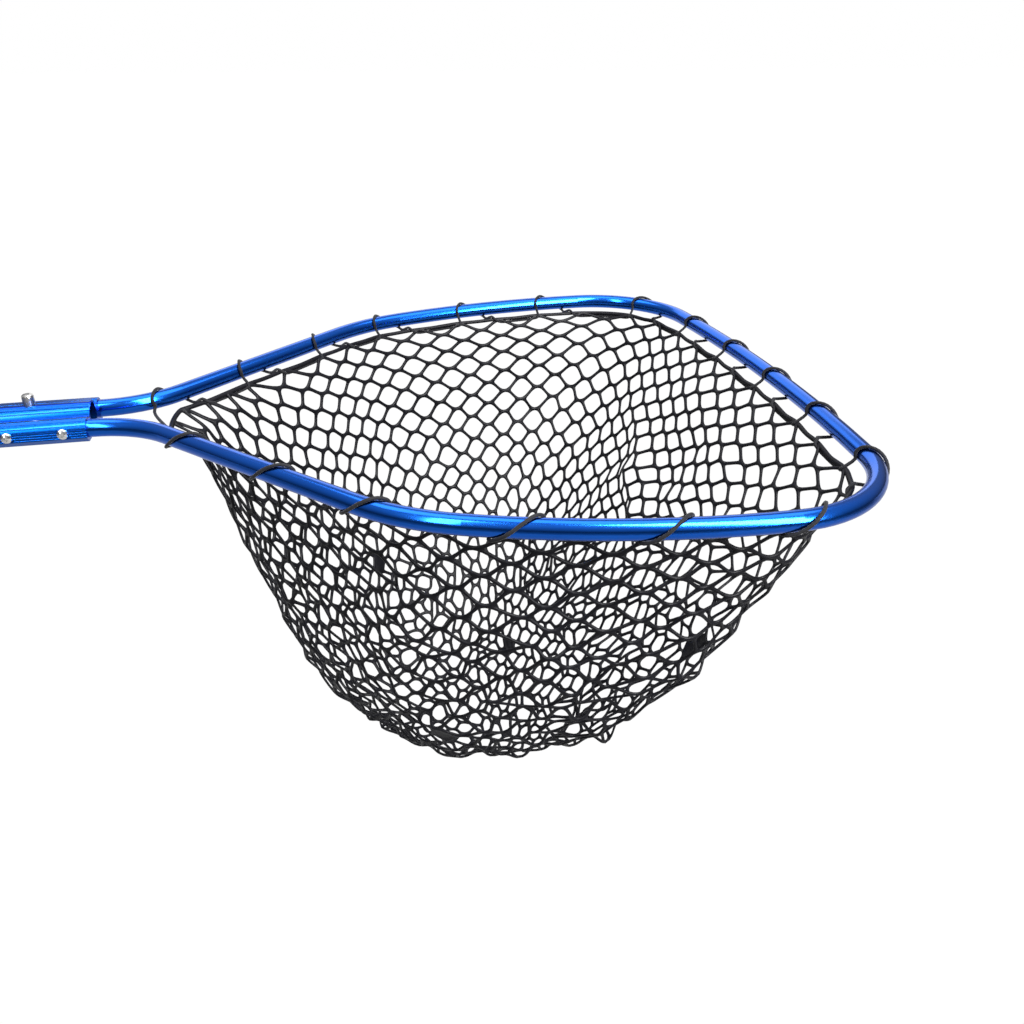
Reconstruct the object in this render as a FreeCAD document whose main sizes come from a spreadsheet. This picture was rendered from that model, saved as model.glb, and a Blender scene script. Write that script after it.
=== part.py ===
import FreeCAD, Part
import math
import os

import Sketcher
from FreeCAD import Placement, Rotation, Vector

# Landing net with a bent tube hoop, a ribbed yoke, a detachable handle and a rubber mesh bag.
# Frame: X runs from the handle towards the far edge of the hoop, Z is up, the bag hangs down.
# Origin: middle of the yoke's front face, in the plane of the hoop's centreline.

SIZES = {
    # hoop tube and its plan
    "tube_diameter": 16.0,
    "tube_wall": 1.6,
    "arm_gap_half": 24.0,
    "arm_insert": 76.0,
    "arm_lead": 2.0,
    "neck_radius": 90.0,
    "neck_angle": 46.5,
    "shoulder_radius": 190.0,
    "side_radius": 690.0,
    "corner_radius": 108.0,
    "far_edge_radius": 1850.0,
    "widest_at": 527.0,
    "hoop_half_width": 301.5,
    # yoke extrusion
    "yoke_length": 82.55,
    "handle_rise": 3.3,
    "barrel_diameter": 27.0,
    "lobe_diameter": 20.4,
    "ridge_height": 7.8,
    "land_reach": 10.2,
    "land_top": 2.4,
    "land_chamfer": 5.0,
    "top_flat_width": 8.4,
    "flute_diameter": 1.1,
    "socket_clearance": 0.02,
    # handle
    "handle_diameter": 22.2,
    "handle_wall": 1.6,
    "handle_length": 610.0,
    "handle_clearance": 0.05,
    "handle_setback": 36.0,
    # snap button
    "button_diameter": 10.0,
    "button_setback": 50.0,
    "button_proud": 9.5,
    "button_clearance": 0.1,
    "spring_thickness": 0.6,
    "spring_width": 7.0,
    "spring_reach": 44.0,
    # hoop screws
    "screw_diameter": 4.2,
    "screw_length": 9.0,
    "screw_head_diameter": 9.3,
    "screw_head_height": 3.0,
    "screw_first": 19.05,
    "screw_pitch": 44.45,
    "screw_hole_depth": 20.0,
    "screw_hole_clearance": 0.1,
    "screw_thread_bite": 0.02,
    # grip and butt cap
    "grip_length": 190.0,
    "grip_diameter": 31.0,
    "grip_groove_pitch": 14.0,
    "grip_groove_radius": 3.2,
    "grip_groove_count": 12,
    "grip_lip": 1.5,
    "grip_end_round": 5.0,
    "cap_diameter": 33.0,
    "cap_plug_length": 26.0,
    "cap_thickness": 11.0,
    "cap_edge": 5.0,
    "lanyard_hole_diameter": 7.0,
    "lanyard_hole_gap": 13.0,
    "lug_thickness": 10.0,
    "lug_rim": 6.0,
    # bag and lacing
    "bag_depth": 360.0,
    "bag_wall": 1.5,
    "bag_lowest_at": 280.0,
    "throat_lean": 0.5,
    "throat_round": 3.75,
    "far_lean": 0.75,
    "far_round": 2.4,
    "side_lean": 1.9,
    "side_round": 2.25,
    "rim_inset": 19.0,
    "rim_drop": 12.0,
    "throat": 62.0,
    "cord_diameter": 3.6,
    "cord_slack": 0.3,
    "lacing_first": 51.0,
    "lacing_pitch": 106.6,
    "lacing_count": 18,
}

# where the yoke's flutes run: degrees round the barrel and the lobes, heights on the lands
BARREL_FLUTES = (62, 49, 36)
LOBE_FLUTES = (100, 78, 56, 34)
LAND_FLUTES = (0.6, -1.6, -3.8)
# the hoop's centreline is this many lines and arcs, the far edge in the middle
HOOP_CURVES = 13
FAR_CURVE = 6
# points round the bag's mouth and outlines down its wall
RIM_POINTS = 30
BAG_OUTLINES = 9
FLOOR_SHARE = 0.985

doc = FreeCAD.newDocument("LandingNet")
sheet = doc.addObject("Spreadsheet::Sheet", "Sizes")
for row, (alias, number) in enumerate(SIZES.items(), start=1):
    sheet.set(f"A{row}", alias)
    sheet.set(f"B{row}", str(number))
    sheet.setAlias(f"B{row}", alias)
doc.recompute()


class Size:
    """A length's value now, with the sheet expression that keeps it up to date."""

    def __init__(self, value, text):
        self.value = value
        self.text = text

    def combine(self, sign, other, value):
        return Size(value, f"({self.text} {sign} {as_size(other).text})")

    def __add__(self, other):
        return self.combine("+", other, self.value + as_size(other).value)

    def __sub__(self, other):
        return self.combine("-", other, self.value - as_size(other).value)

    def __mul__(self, other):
        return self.combine("*", other, self.value * as_size(other).value)

    def __truediv__(self, other):
        return self.combine("/", other, self.value / as_size(other).value)

    def __neg__(self):
        return as_size(0) - self


def as_size(number):
    return number if isinstance(number, Size) else Size(float(number), str(number))


def size(alias):
    return Size(float(sheet.get(alias)), f"Sizes.{alias}")


def number(alias):
    return float(sheet.get(alias))


# ---------------------------------------------------------------- sketch helpers


def new_body(label):
    body = doc.addObject("PartDesign::Body", label.title().replace("_", ""))
    body.Label = label
    return body


def new_sketch(body, role, name, offset=0):
    """A sketch on one of the body's origin planes, moved along the plane's normal."""
    sketch = body.newObject("Sketcher::SketchObject", name)
    plane = [f for f in body.Origin.OriginFeatures if f.Role == role][0]
    sketch.AttachmentSupport = (plane, [""])
    sketch.MapMode = "FlatFace"
    offset = as_size(offset)
    sketch.AttachmentOffset = Placement(Vector(0, 0, offset.value), Rotation())
    sketch.setExpression("AttachmentOffset.Base.z", offset.text)
    return sketch


def bind(sketch, constraint, length):
    index = sketch.addConstraint(constraint)
    sketch.setExpression(f"Constraints[{index}]", length.text)


def fix_point(sketch, geometry, point, place):
    """Hold a point of the sketch at a place measured from the origin."""
    for kind, axis, length in (("DistanceX", -2, place[0]), ("DistanceY", -1, place[1])):
        length = as_size(length)
        if abs(length.value) < 1e-9:
            sketch.addConstraint(Sketcher.Constraint("PointOnObject", geometry, point, axis))
        else:
            held = Sketcher.Constraint(kind, -1, 1, geometry, point, length.value)
            bind(sketch, held, length)


def draw_circle(sketch, centre, radius):
    middle = Vector(as_size(centre[0]).value, as_size(centre[1]).value, 0)
    circle = sketch.addGeometry(Part.Circle(middle, Vector(0, 0, 1), radius.value))
    bind(sketch, Sketcher.Constraint("Radius", circle, radius.value), radius)
    fix_point(sketch, circle, 3, centre)


def draw_polygon(sketch, corners):
    places = [Vector(as_size(x).value, as_size(y).value, 0) for x, y in corners]
    lines = []
    for start, end in zip(places, places[1:] + places[:1]):
        lines.append(sketch.addGeometry(Part.LineSegment(start, end)))
    for line, following in zip(lines, lines[1:] + lines[:1]):
        sketch.addConstraint(Sketcher.Constraint("Coincident", line, 2, following, 1))
    for line, corner in zip(lines, corners):
        fix_point(sketch, line, 1, corner)


def pad(body, sketch, length, reverse=False, both_ways=False):
    feature = body.newObject("PartDesign::Pad", sketch.Name + "Pad")
    feature.Profile = sketch
    feature.setExpression("Length", as_size(length).text)
    feature.Reversed = reverse
    feature.Midplane = both_ways
    return feature


def pocket(body, sketch, length, reverse=False, both_ways=False):
    """Cut a sketch out of the body, and make sure that something was cut."""
    doc.recompute()
    before = body.Shape.Volume
    feature = body.newObject("PartDesign::Pocket", sketch.Name + "Pocket")
    feature.Profile = sketch
    feature.setExpression("Length", as_size(length).text)
    feature.Reversed = reverse
    feature.Midplane = both_ways
    doc.recompute()
    if body.Shape.Volume > before - 0.01:
        raise RuntimeError(f"{feature.Name} cuts nothing")
    return feature


def revolve(body, sketch, axis):
    feature = body.newObject("PartDesign::Revolution", sketch.Name + "Revolution")
    feature.Profile = sketch
    feature.ReferenceAxis = (sketch, [axis])
    feature.Angle = 360
    return feature


# ---------------------------------------------------------------- hoop centreline


def plan_points():
    """Where the lines and arcs of the hoop's left half meet, seen from above."""
    gap, lead = number("arm_gap_half"), number("arm_lead")
    neck, angle = number("neck_radius"), math.radians(number("neck_angle"))
    shoulder, side = number("shoulder_radius"), number("side_radius")
    corner, far = number("corner_radius"), number("far_edge_radius")
    forward = Vector(math.cos(angle), math.sin(angle), 0)
    inward = Vector(math.sin(angle), -math.cos(angle), 0)
    plan = {"arm_end": Vector(-number("arm_insert"), gap, 0), "neck_start": Vector(lead, gap, 0)}
    plan["neck_centre"] = Vector(lead, gap + neck, 0)
    plan["neck_end"] = plan["neck_centre"] + inward * neck
    plan["widest"] = Vector(number("widest_at"), number("hoop_half_width"), 0)
    plan["side_centre"] = plan["widest"] - Vector(0, side, 0)
    # the shoulder arc touches the sloping line and the inside of the side arc
    base = plan["neck_end"] + inward * shoulder - plan["side_centre"]
    along = base.dot(forward)
    run = math.sqrt(along ** 2 - base.dot(base) + (side - shoulder) ** 2) - along
    plan["shoulder_start"] = plan["neck_end"] + forward * run
    plan["shoulder_centre"] = plan["shoulder_start"] + inward * shoulder
    ray = (plan["shoulder_centre"] - plan["side_centre"]).normalize()
    plan["side_start"] = plan["side_centre"] + ray * side
    plan["corner_centre"] = plan["widest"] - Vector(0, corner, 0)
    # the far edge is one shallow arc centred on X that touches both corner arcs
    back = math.sqrt((far - corner) ** 2 - plan["corner_centre"].y ** 2)
    plan["far_centre"] = Vector(plan["corner_centre"].x - back, 0, 0)
    ray = (plan["corner_centre"] - plan["far_centre"]).normalize()
    plan["corner_end"] = plan["far_centre"] + ray * far
    return plan


def arc_edge(centre, start, end):
    """The short arc about a centre from one point to another."""
    ray = (start - centre).normalize() + (end - centre).normalize()
    middle = centre + ray.normalize() * (start - centre).Length
    return Part.Arc(start, middle, end)


def half_hoop_curves(plan):
    return [
        Part.LineSegment(plan["arm_end"], plan["neck_start"]),
        arc_edge(plan["neck_centre"], plan["neck_start"], plan["neck_end"]),
        Part.LineSegment(plan["neck_end"], plan["shoulder_start"]),
        arc_edge(plan["shoulder_centre"], plan["shoulder_start"], plan["side_start"]),
        arc_edge(plan["side_centre"], plan["side_start"], plan["widest"]),
        arc_edge(plan["corner_centre"], plan["widest"], plan["corner_end"]),
    ]


def mirrored(curve):
    """The same curve on the other side of X."""
    flip = FreeCAD.Matrix()
    flip.scale(1, -1, 1)
    points = [curve.value(t) for t in (curve.FirstParameter, curve.LastParameter)]
    start, end = [flip.multVec(p) for p in points]
    if isinstance(curve, Part.LineSegment):
        return Part.LineSegment(end, start)
    middle = curve.value((curve.FirstParameter + curve.LastParameter) / 2)
    return Part.Arc(end, flip.multVec(middle), start)


def hoop_curves():
    """All curves of the hoop in order, from the left arm's end round to the right arm's."""
    plan = plan_points()
    left = half_hoop_curves(plan)
    end = plan["corner_end"]
    far = arc_edge(plan["far_centre"], end, Vector(end.x, -end.y, 0))
    return left + [far] + [mirrored(curve) for curve in reversed(left)]


# ---------------------------------------------------------------- head


def join_ends(sketch, first, second):
    """Make two neighbouring curves meet and run smoothly into each other."""
    best = None
    for one in (1, 2):
        for two in (1, 2):
            space = (sketch.getPoint(first, one) - sketch.getPoint(second, two)).Length
            if best is None or space < best[0]:
                best = (space, one, two)
    sketch.addConstraint(Sketcher.Constraint("Tangent", first, best[1], second, best[2]))


def bind_hoop_path(path):
    """Drive the hoop's path from the sheet."""
    last = HOOP_CURVES - 1
    for index in range(last):
        join_ends(path, index, index + 1)
    radii = ("neck_radius", None, "shoulder_radius", "side_radius", "corner_radius")
    for offset, alias in enumerate(radii, start=1):
        for index in (offset, last - offset):
            if alias:
                bind(path, Sketcher.Constraint("Radius", index, number(alias)), size(alias))
    far = size("far_edge_radius")
    bind(path, Sketcher.Constraint("Radius", FAR_CURVE, far.value), far)
    gap = size("arm_gap_half")
    for index, side in ((0, 1), (last, -1)):
        ends = sorted((1, 2), key=lambda point: path.getPoint(index, point).x)
        fix_point(path, index, ends[0], (-size("arm_insert"), gap * side))
        bind(path, Sketcher.Constraint("DistanceX", -1, 1, index, ends[1], number("arm_lead")),
             size("arm_lead"))
        path.addConstraint(Sketcher.Constraint("Horizontal", index))


def make_hoop_tube():
    body = new_body("hoop_tube")
    path = new_sketch(body, "XY_Plane", "HoopPath")
    for curve in hoop_curves():
        path.addGeometry(curve)
    bind_hoop_path(path)
    profile = new_sketch(body, "YZ_Plane", "HoopSection", -size("arm_insert"))
    for radius in (size("tube_diameter") / 2, size("tube_diameter") / 2 - size("tube_wall")):
        draw_circle(profile, (size("arm_gap_half"), 0), radius)
    doc.recompute()
    pipe = body.newObject("PartDesign::AdditivePipe", "HoopPipe")
    pipe.Profile = profile
    pipe.Spine = (path, [f"Edge{i + 1}" for i in range(HOOP_CURVES)])
    doc.recompute()
    drill_screw_holes(body, size("screw_diameter") / 2 + size("screw_thread_bite"))
    return body


def screw_stations():
    first = -size("screw_first")
    return (first, first - size("screw_pitch"))


def drill_screw_holes(body, radius):
    """Holes from outside, through the outer wall of each arm only."""
    for side in (1, -1):
        # the XZ plane's normal points to -Y
        sketch = new_sketch(body, "XZ_Plane", "ScrewHoles", size("arm_gap_half") * -side)
        for station in screw_stations():
            draw_circle(sketch, (station, 0), radius)
        pocket(body, sketch, size("screw_hole_depth"), reverse=side < 0)


def make_yoke():
    """An extrusion with a round barrel for the handle between two lobes for the hoop arms."""
    body = new_body("yoke")
    length, rise, gap = size("yoke_length"), size("handle_rise"), size("arm_gap_half")
    barrel, lobe = size("barrel_diameter") / 2, size("lobe_diameter") / 2
    sketch = new_sketch(body, "YZ_Plane", "Barrel")
    draw_circle(sketch, (0, rise), barrel)
    pad(body, sketch, length, reverse=True)
    sketch = new_sketch(body, "YZ_Plane", "Web")
    draw_polygon(sketch, [(-gap, -lobe), (gap, -lobe), (gap, size("ridge_height")),
                          (-gap, size("ridge_height"))])
    pad(body, sketch, length, reverse=True)
    for side in (1, -1):
        middle = gap * side
        sketch = new_sketch(body, "YZ_Plane", "Lobe")
        draw_circle(sketch, (middle, 0), lobe)
        pad(body, sketch, length, reverse=True)
        face = middle + size("land_reach") * side
        chamfer = size("land_chamfer")
        sketch = new_sketch(body, "YZ_Plane", "Land")
        draw_polygon(sketch, [(middle, -lobe), (face - chamfer * side, -lobe),
                              (face, chamfer - lobe), (face, size("land_top")),
                              (middle, size("land_top"))])
        pad(body, sketch, length, reverse=True)
    half_flat = size("top_flat_width") / 2
    sketch = new_sketch(body, "YZ_Plane", "TopFlat")
    draw_polygon(sketch, [(-half_flat, rise), (half_flat, rise), (half_flat, rise + barrel),
                          (-half_flat, rise + barrel)])
    pad(body, sketch, length, reverse=True)
    cut_yoke_bores(body, length)
    cut_yoke_flutes(body, length)
    drill_screw_holes(body, size("screw_diameter") / 2 + size("screw_hole_clearance"))
    sketch = new_sketch(body, "XY_Plane", "ButtonHole", rise)
    draw_circle(sketch, (-size("button_setback"), 0),
                size("button_diameter") / 2 + size("button_clearance"))
    pocket(body, sketch, size("barrel_diameter"), reverse=True)
    return body


def cut_yoke_bores(body, length):
    bore = new_sketch(body, "YZ_Plane", "HandleBore")
    draw_circle(bore, (0, size("handle_rise")),
                size("handle_diameter") / 2 + size("handle_clearance"))
    pocket(body, bore, length)
    sockets = new_sketch(body, "YZ_Plane", "ArmSockets")
    for side in (1, -1):
        draw_circle(sockets, (size("arm_gap_half") * side, 0),
                    size("tube_diameter") / 2 + size("socket_clearance"))
    pocket(body, sockets, length)


def cut_yoke_flutes(body, length):
    """Small round grooves along the outside: barrel, lobes, screw lands and top flat."""
    flutes = new_sketch(body, "YZ_Plane", "Flutes")
    radius = size("flute_diameter") / 2
    rise, gap = size("handle_rise"), size("arm_gap_half")
    barrel, lobe = size("barrel_diameter") / 2, size("lobe_diameter") / 2
    draw_circle(flutes, (0, rise + barrel), radius)
    for side in (1, -1):
        for degrees in BARREL_FLUTES:
            turn = math.radians(degrees)
            draw_circle(flutes, (barrel * (side * math.cos(turn)),
                                 rise + barrel * math.sin(turn)), radius)
        for degrees in LOBE_FLUTES:
            turn = math.radians(degrees)
            draw_circle(flutes, ((gap + lobe * math.cos(turn)) * side,
                                 lobe * math.sin(turn)), radius)
        for height in LAND_FLUTES:
            draw_circle(flutes, ((gap + size("land_reach")) * side, height), radius)
    pocket(body, flutes, length)


def make_hoop_screw(label, station, side):
    """A pan-head screw with a cross recess, its head outwards on one side of the yoke."""
    body = new_body(label)
    head, height = size("screw_head_diameter") / 2, size("screw_head_height")
    shank, long = size("screw_diameter") / 2, size("screw_length")
    outline = new_sketch(body, "XZ_Plane", "ScrewOutline")
    draw_polygon(outline, [(0, height), (head * 0.5, height), (head * 0.86, height * 0.74),
                           (head, height * 0.3), (head, 0), (shank, 0), (shank, -long + 1),
                           (shank * 0.6, -long), (0, -long)])
    revolve(body, outline, "V_Axis")
    doc.recompute()
    recess = new_sketch(body, "XY_Plane", "CrossRecess", height)
    arm, half = head * 0.45, head * 0.1
    draw_polygon(recess, [(-arm, -half), (-half, -half), (-half, -arm), (half, -arm),
                          (half, -half), (arm, -half), (arm, half), (half, half),
                          (half, arm), (-half, arm), (-half, half), (-arm, half)])
    pocket(body, recess, height * 0.6)
    face = (size("arm_gap_half") + size("land_reach")) * side
    body.Placement = Placement(Vector(), Rotation(Vector(1, 0, 0), -90 * side))
    body.setExpression("Placement.Base.x", station.text)
    body.setExpression("Placement.Base.y", face.text)
    return body


# ---------------------------------------------------------------- handle


def on_handle_axis(body):
    body.setExpression("Placement.Base.z", "Sizes.handle_rise")
    return body


def handle_front():
    return -size("handle_setback")


def handle_back():
    return handle_front() - size("handle_length")


def make_handle_tube():
    body = new_body("handle_tube")
    outer = size("handle_diameter") / 2
    sketch = new_sketch(body, "YZ_Plane", "HandleSection", handle_front())
    draw_circle(sketch, (0, 0), outer)
    draw_circle(sketch, (0, 0), outer - size("handle_wall"))
    pad(body, sketch, size("handle_length"), reverse=True)
    hole = new_sketch(body, "XY_Plane", "HandleButtonHole")
    draw_circle(hole, (-size("button_setback"), 0),
                size("button_diameter") / 2 + size("button_clearance"))
    pocket(body, hole, outer + 1, reverse=True)
    return on_handle_axis(body)


def make_handle_front_plug():
    """A moulded plug that closes the front end of the handle tube."""
    body = new_body("handle_front_plug")
    outer = size("handle_diameter") / 2 - 0.2
    inner = size("handle_diameter") / 2 - size("handle_wall")
    front = handle_front()
    outline = new_sketch(body, "XZ_Plane", "PlugOutline")
    draw_polygon(outline, [(front + 2.4, 0), (front + 2.4, outer * 0.7), (front + 1.4, outer),
                           (front, outer), (front, inner), (front - 7, inner),
                           (front - 8, inner - 1), (front - 8, inner - 2),
                           (front - 1, inner - 2), (front - 1, 0)])
    revolve(body, outline, "H_Axis")
    return on_handle_axis(body)


def leaf_top():
    """Top of the spring's upper leaf where the button stands, above the handle's axis."""
    return size("handle_diameter") / 2 - size("handle_wall") - 1.5


def make_snap_button():
    body = new_body("snap_button")
    radius = size("button_diameter") / 2
    top = size("barrel_diameter") / 2 + size("button_proud")
    outline = new_sketch(body, "XZ_Plane", "ButtonOutline")
    draw_polygon(outline, [(0, leaf_top()), (radius, leaf_top()), (radius, top - radius * 0.5),
                           (radius * 0.93, top - radius * 0.24),
                           (radius * 0.72, top - radius * 0.07), (radius * 0.4, top), (0, top)])
    revolve(body, outline, "V_Axis")
    body.setExpression("Placement.Base.x", (-size("button_setback")).text)
    return on_handle_axis(body)


def make_button_spring():
    """A strip folded to a V: the lower leaf lies on the tube, the upper one lifts the button."""
    body = new_body("button_spring")
    top, thick = leaf_top(), size("spring_thickness")
    floor = -(size("handle_diameter") / 2 - size("handle_wall") - 2.2)
    rest = size("button_diameter") / 2 + 1
    fold = -size("spring_reach")
    outline = new_sketch(body, "XZ_Plane", "SpringOutline")
    draw_polygon(outline, [(rest, top), (-rest, top), (fold + 3, floor + 3),
                           (fold, floor + 1.5), (fold + 1.5, floor), (rest, floor),
                           (rest, floor + thick), (fold + 2, floor + thick),
                           (fold + 1.2, floor + 1.6), (fold + 3.4, floor + 2.6),
                           (-rest, top - thick), (rest, top - thick)])
    pad(body, outline, size("spring_width"), both_ways=True)
    body.setExpression("Placement.Base.x", (-size("button_setback")).text)
    return on_handle_axis(body)


def make_handle_grip():
    """A foam sleeve with rounded ends and a run of finger grooves."""
    body = new_body("handle_grip")
    inner, outer = size("handle_diameter") / 2, size("grip_diameter") / 2
    back = handle_back()
    front = back + size("grip_length")
    outline = new_sketch(body, "XZ_Plane", "GripOutline")
    lip, round_length = size("grip_lip"), size("grip_end_round")
    draw_polygon(outline, [(back, inner), (front, inner), (front, inner + lip),
                           (front - lip, outer - lip * 0.8), (front - round_length, outer),
                           (back + lip * 2, outer), (back, outer - lip)])
    revolve(body, outline, "H_Axis")
    doc.recompute()
    before = body.Shape.Volume
    pitch = size("grip_groove_pitch")
    groove_sketch = new_sketch(body, "XZ_Plane", "FingerGroove")
    cutter = size("grip_groove_radius")
    draw_circle(groove_sketch, (back + pitch, outer + cutter * 0.6), cutter)
    groove = body.newObject("PartDesign::Groove", "GripGroove")
    groove.Profile = groove_sketch
    groove.ReferenceAxis = (groove_sketch, ["H_Axis"])
    groove.Angle = 360
    doc.recompute()
    pattern = body.newObject("PartDesign::LinearPattern", "GripGrooves")
    pattern.Originals = [groove]
    pattern.Direction = (groove_sketch, ["H_Axis"])
    pattern.setExpression("Occurrences", "Sizes.grip_groove_count")
    pattern.setExpression("Length", (pitch * (size("grip_groove_count") - 1)).text)
    body.Tip = pattern
    doc.recompute()
    if body.Shape.Volume > before - 1:
        raise RuntimeError("the grip's grooves cut nothing")
    return on_handle_axis(body)


def make_butt_cap():
    """A moulded cap plugged into the handle's end, with a lug for a lanyard."""
    body = new_body("butt_cap")
    back, radius = handle_back(), size("cap_diameter") / 2
    plug = size("handle_diameter") / 2 - size("handle_wall")
    tip, edge = back + size("cap_plug_length"), size("cap_edge")
    end = back - size("cap_thickness")
    outline = new_sketch(body, "XZ_Plane", "CapOutline")
    draw_polygon(outline, [(tip, 0), (tip, plug - 1), (tip - 1, plug), (back, plug),
                           (back, radius), (back - edge, radius),
                           (end + edge * 0.6, radius - edge * 0.3),
                           (end + edge * 0.2, radius - edge * 0.9),
                           (end, radius - edge * 1.6), (end, 0)])
    revolve(body, outline, "H_Axis")
    doc.recompute()
    hole, rim = size("lanyard_hole_diameter") / 2, size("lug_rim")
    middle = back - size("lanyard_hole_gap") - hole
    lug = new_sketch(body, "XZ_Plane", "LanyardLug")
    root, lug_end = back - edge * 1.6, middle - hole - rim * 0.7
    draw_polygon(lug, [(root, hole + rim), (root, -hole - rim), (lug_end + rim, -hole - rim * 0.8),
                       (lug_end + 1, -hole - rim * 0.3), (lug_end, 0),
                       (lug_end + 1, hole + rim * 0.3), (lug_end + rim, hole + rim * 0.8)])
    pad(body, lug, size("lug_thickness"), both_ways=True)
    eye = new_sketch(body, "XZ_Plane", "LanyardEye")
    draw_circle(eye, (middle, 0), hole)
    pocket(body, eye, size("lug_thickness") * 2, both_ways=True)
    return on_handle_axis(body)


# ---------------------------------------------------------------- bag and lacing


def hoop_wire():
    edges = [curve.toShape() for curve in hoop_curves()]
    return Part.Wire(Part.__sortEdges__(edges))


def rim_points(inset, count):
    """Points evenly spaced along the hoop ahead of the throat, moved towards its inside."""
    wire = hoop_wire()
    spots = [p for p in wire.discretize(Distance=4.0) if p.x > number("throat")]
    shift = []
    for before, spot, after in zip(spots, spots[1:], spots[2:]):
        along = (after - before).normalize()
        inward = Vector(-along.y, along.x, 0)
        if inward.dot(Vector(number("widest_at") * 0.7, 0, 0) - spot) < 0:
            inward = -inward
        shift.append(spot + inward * inset)
    step = (len(shift) - 1) / (count - 1)
    return [shift[round(index * step)] for index in range(count)]


def taper(fall, start, finish):
    """How far a bag wall still stands out at a given share of the depth, from 1 down to 0."""
    return (1 - fall ** number(start)) ** (1 / number(finish))


def bag_section(rim, fall, depth):
    """The rim's outline drawn in towards the lowest point and lowered."""
    lowest = number("bag_lowest_at")
    throat = lowest + (min(p.x for p in rim) - lowest) * taper(fall, "throat_lean", "throat_round")
    far = lowest + (max(p.x for p in rim) - lowest) * taper(fall, "far_lean", "far_round")
    narrow = taper(fall, "side_lean", "side_round")
    stretch = (far - throat) / (max(p.x for p in rim) - min(p.x for p in rim))
    height = -number("rim_drop") - depth * fall
    start = min(p.x for p in rim)
    return [Vector(throat + (p.x - start) * stretch, p.y * narrow, height) for p in rim]


def bag_solid(inset, depth):
    """A closed loft from the rim down to a small flat floor."""
    rim = rim_points(inset, RIM_POINTS)
    wires = []
    for index in range(BAG_OUTLINES):
        turn = math.pi * index / (BAG_OUTLINES - 1)
        fall = FLOOR_SHARE * (1 - math.cos(turn)) / 2
        curve = Part.BSplineCurve()
        curve.interpolate(bag_section(rim, fall, depth), PeriodicFlag=True)
        wires.append(Part.Wire([curve.toShape()]))
    return Part.makeLoft(wires, True, False)


def make_net_bag():
    """The bag as a thin bowl with its real mouth and depth."""
    wall, depth, inset = number("bag_wall"), number("bag_depth"), number("rim_inset")
    bag = doc.addObject("Part::Feature", "NetBag")
    bag.Label = "net_bag"
    bag.Shape = bag_solid(inset, depth).cut(bag_solid(inset + wall, depth - wall))
    bag.Placement = Placement()
    return bag


def hoop_at(distance):
    """A point on the hoop's centreline and its direction, that far from the left arm's end."""
    for curve in hoop_curves():
        edge = curve.toShape()
        if distance < edge.Length:
            place = edge.getParameterByLength(distance)
            return edge.valueAt(place), edge.tangentAt(place)
        distance -= edge.Length
    raise ValueError("the hoop is shorter than that")


def make_lacing_cord():
    """The wraps of the lacing cord, one closed loop of cord for each turn round the tube."""
    cord = size("cord_diameter") / 2
    loop = size("tube_diameter") / 2 + cord + size("cord_slack")
    first = number("arm_insert") + number("lacing_first")
    loops = []
    for index in range(int(number("lacing_count"))):
        spot, along = hoop_at(first + index * number("lacing_pitch"))
        torus = doc.addObject("Part::Torus", "LacingLoop")
        torus.setExpression("Radius1", loop.text)
        torus.setExpression("Radius2", cord.text)
        torus.Placement = Placement(spot, Rotation(Vector(0, 0, 1), along))
        loops.append(torus)
    lacing = doc.addObject("Part::Compound", "LacingCord")
    lacing.Label = "lacing_cord"
    lacing.Links = loops
    return lacing


# ---------------------------------------------------------------- build and write


def make_parts():
    parts = [make_hoop_tube(), make_yoke()]
    for side, side_name in ((1, "left"), (-1, "right")):
        for station, place_name in zip(screw_stations(), ("front", "rear")):
            parts.append(make_hoop_screw(f"hoop_screw_{side_name}_{place_name}", station, side))
    parts += [make_handle_tube(), make_handle_front_plug(), make_snap_button(),
              make_button_spring(), make_handle_grip(), make_butt_cap(), make_net_bag(),
              make_lacing_cord()]
    return parts


def check(parts):
    for item in doc.Objects:
        if "Invalid" in item.State or "Error" in item.State:
            raise RuntimeError(f"{item.Name} failed: {item.State}")
    for part in parts:
        if part.Shape.isNull() or not part.Shape.isValid():
            raise RuntimeError(f"{part.Label} has no valid shape")


parts = make_parts()
doc.recompute()
check(parts)
os.makedirs("parts", exist_ok=True)
for part in parts:
    part.Shape.exportStep(f"parts/{part.Label}.step")
    print(part.Label, round(part.Shape.Volume / 1000, 2), "cm3", len(part.Shape.Solids))
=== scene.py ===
import cmath
import math

import bmesh
import bpy
import numpy as np
from mathutils import Matrix, Vector


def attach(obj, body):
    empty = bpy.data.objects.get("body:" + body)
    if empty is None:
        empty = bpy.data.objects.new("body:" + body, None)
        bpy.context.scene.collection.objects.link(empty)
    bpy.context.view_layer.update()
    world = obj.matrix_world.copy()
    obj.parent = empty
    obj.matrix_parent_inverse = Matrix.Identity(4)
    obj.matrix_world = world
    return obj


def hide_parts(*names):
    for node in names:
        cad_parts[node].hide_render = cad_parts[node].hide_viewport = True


# Landing net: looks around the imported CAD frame. Lengths below are in millimetres unless said.
# The hoop, yoke, screws, button, handle, grip and cap are the CAD nodes with detailed materials.
# The moulded mesh bag and the spiral lacing cord are built here and ride on the head.

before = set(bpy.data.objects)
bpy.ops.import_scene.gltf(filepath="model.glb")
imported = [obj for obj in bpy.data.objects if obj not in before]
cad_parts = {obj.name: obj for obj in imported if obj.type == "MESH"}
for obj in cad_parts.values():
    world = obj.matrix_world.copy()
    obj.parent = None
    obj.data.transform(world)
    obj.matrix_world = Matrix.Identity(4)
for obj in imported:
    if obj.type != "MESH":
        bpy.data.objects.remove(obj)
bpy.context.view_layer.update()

MM = 0.001

# ------------------------------------------------------------------ hoop centreline

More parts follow.
